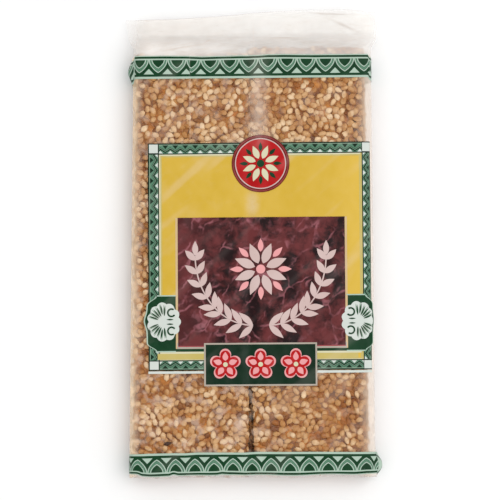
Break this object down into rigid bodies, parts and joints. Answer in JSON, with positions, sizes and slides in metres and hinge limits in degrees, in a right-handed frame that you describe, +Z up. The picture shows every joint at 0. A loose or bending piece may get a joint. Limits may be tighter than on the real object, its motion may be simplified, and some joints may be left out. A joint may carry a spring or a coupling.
{
  "type": "sealed clear pack of sesame bars",
  "caption": "Flat clear film pack, sealed with a fin at one end and folded under at the other, holding long sesame bars side by side under a printed label.",
  "frame": {"origin": "under the middle of the pack's box, on the surface it lies on", "axes": "+Z up out of the label side, +Y along the bars towards the end fin, +X to the label's right"},
  "size_m": [0.085, 0.1564, 0.0107],
  "materials": {
    "clear_pack": "clear gloss film over pale golden sesame seeds set in amber caramel, with a printed label and printed bands"
  },
  "bodies": {
    "root": {"sealed_pack": "clear_pack"}
  },
  "joints": []
}
